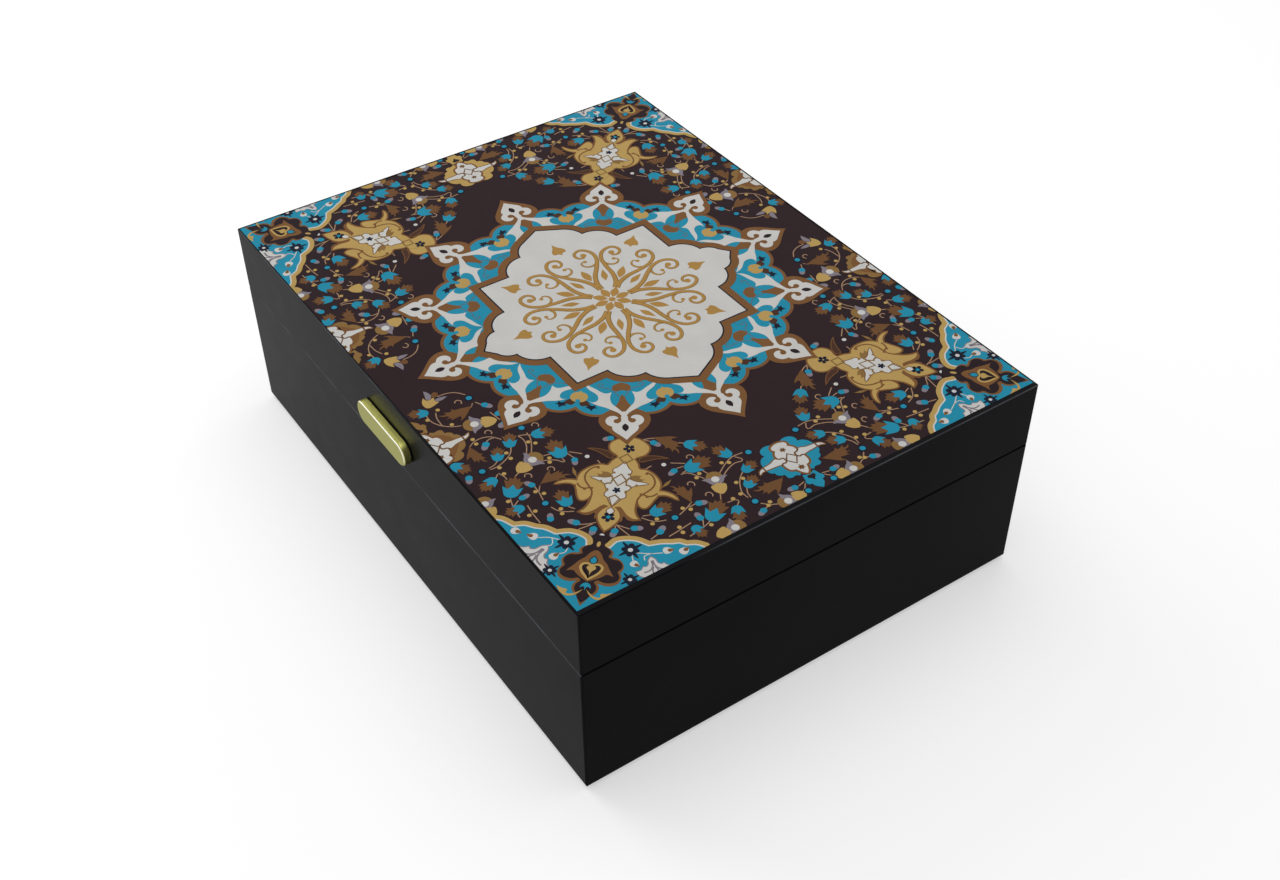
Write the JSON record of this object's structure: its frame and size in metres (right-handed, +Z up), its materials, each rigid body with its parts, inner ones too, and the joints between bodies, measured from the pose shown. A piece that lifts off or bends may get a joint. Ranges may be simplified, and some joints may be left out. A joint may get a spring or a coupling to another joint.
{
  "type": "quran box",
  "caption": "Black lacquered wooden box for a bound book, with an illuminated medallion print on its hinged lid, velvet linings, brass stop hinges and a brass thumb pull.",
  "frame": {"origin": "centre of the felt underside, on the surface that the box stands on", "axes": "+X to the right along the front, +Y from the front with the pull to the hinged back, +Z up"},
  "size_m": [0.3, 0.2353, 0.103],
  "materials": {
    "lacquer": "black gloss lacquer over board",
    "print": "illuminated print under satin varnish",
    "velvet": "short-pile velvet",
    "felt": "pressed felt",
    "brass": "brushed and polished brass",
    "steel": "zinc plated"
  },
  "bodies": {
    "base": {"base_front_wall": "lacquer", "base_right_wall": "lacquer", "base_back_wall": "lacquer", "base_left_wall": "lacquer", "base_bottom_panel": "lacquer", "base_felt": "felt", "tray_floor_board": "velvet", "tray_front_liner": "velvet", "tray_right_liner": "velvet", "tray_back_liner": "velvet", "tray_left_liner": "velvet", "left_hinge_base_leaf": "brass", "right_hinge_base_leaf": "brass", "left_hinge_pin": "brass", "right_hinge_pin": "brass", "base_hinge_screws": "brass"},
    "lid": {"lid_front_rail": "lacquer", "lid_right_rail": "lacquer", "lid_back_rail": "lacquer", "lid_left_rail": "lacquer", "lid_top_panel": "lacquer", "lid_print_sheet": "print", "lid_ceiling_board": "velvet", "lid_front_liner": "velvet", "lid_right_liner": "velvet", "lid_back_liner": "velvet", "lid_left_liner": "velvet", "left_hinge_lid_leaf": "brass", "right_hinge_lid_leaf": "brass", "lid_hinge_screws": "brass", "thumb_pull": "brass", "thumb_pull_screws": "steel"}
  },
  "joints": [
    {"name": "lid_hinge", "type": "hinge", "parent": "base", "child": "lid", "pos_m": [0, 0.1146, 0.07], "axis": [-1, 0, 0], "range_deg": [0, 95]}
  ]
}
